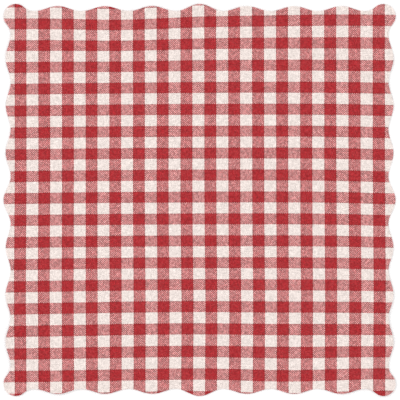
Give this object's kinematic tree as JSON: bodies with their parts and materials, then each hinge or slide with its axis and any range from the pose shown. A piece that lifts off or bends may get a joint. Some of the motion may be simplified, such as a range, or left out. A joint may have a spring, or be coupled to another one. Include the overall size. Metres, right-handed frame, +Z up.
{
  "type": "tablecloth",
  "caption": "Square gingham tablecloth with a scalloped edge, lying flat: a checked face cloth, a mitred facing under its edge and the seams that join them.",
  "frame": {"origin": "under the middle of the cloth, on the table top that it lies on", "axes": "+Z up through the cloth, +X to its right and +Y towards its back edge, along its two thread directions"},
  "size_m": [0.838, 0.838, 0.0027],
  "materials": {
    "face_gingham": "matte basket-woven cotton, red and off-white check",
    "facing_gingham": "matte basket-woven cotton, the same check",
    "thread_cotton": "satin sewing cotton, off-white"
  },
  "bodies": {
    "root": {"face_cloth": "face_gingham", "facing_front": "facing_gingham", "facing_right": "facing_gingham", "facing_back": "facing_gingham", "facing_left": "facing_gingham", "edge_seam": "thread_cotton", "hem_stitch_front": "thread_cotton", "hem_stitch_right": "thread_cotton", "hem_stitch_back": "thread_cotton", "hem_stitch_left": "thread_cotton", "mitre_seam_front_right": "thread_cotton", "mitre_seam_right_back": "thread_cotton", "mitre_seam_back_left": "thread_cotton", "mitre_seam_left_front": "thread_cotton"}
  },
  "joints": []
}
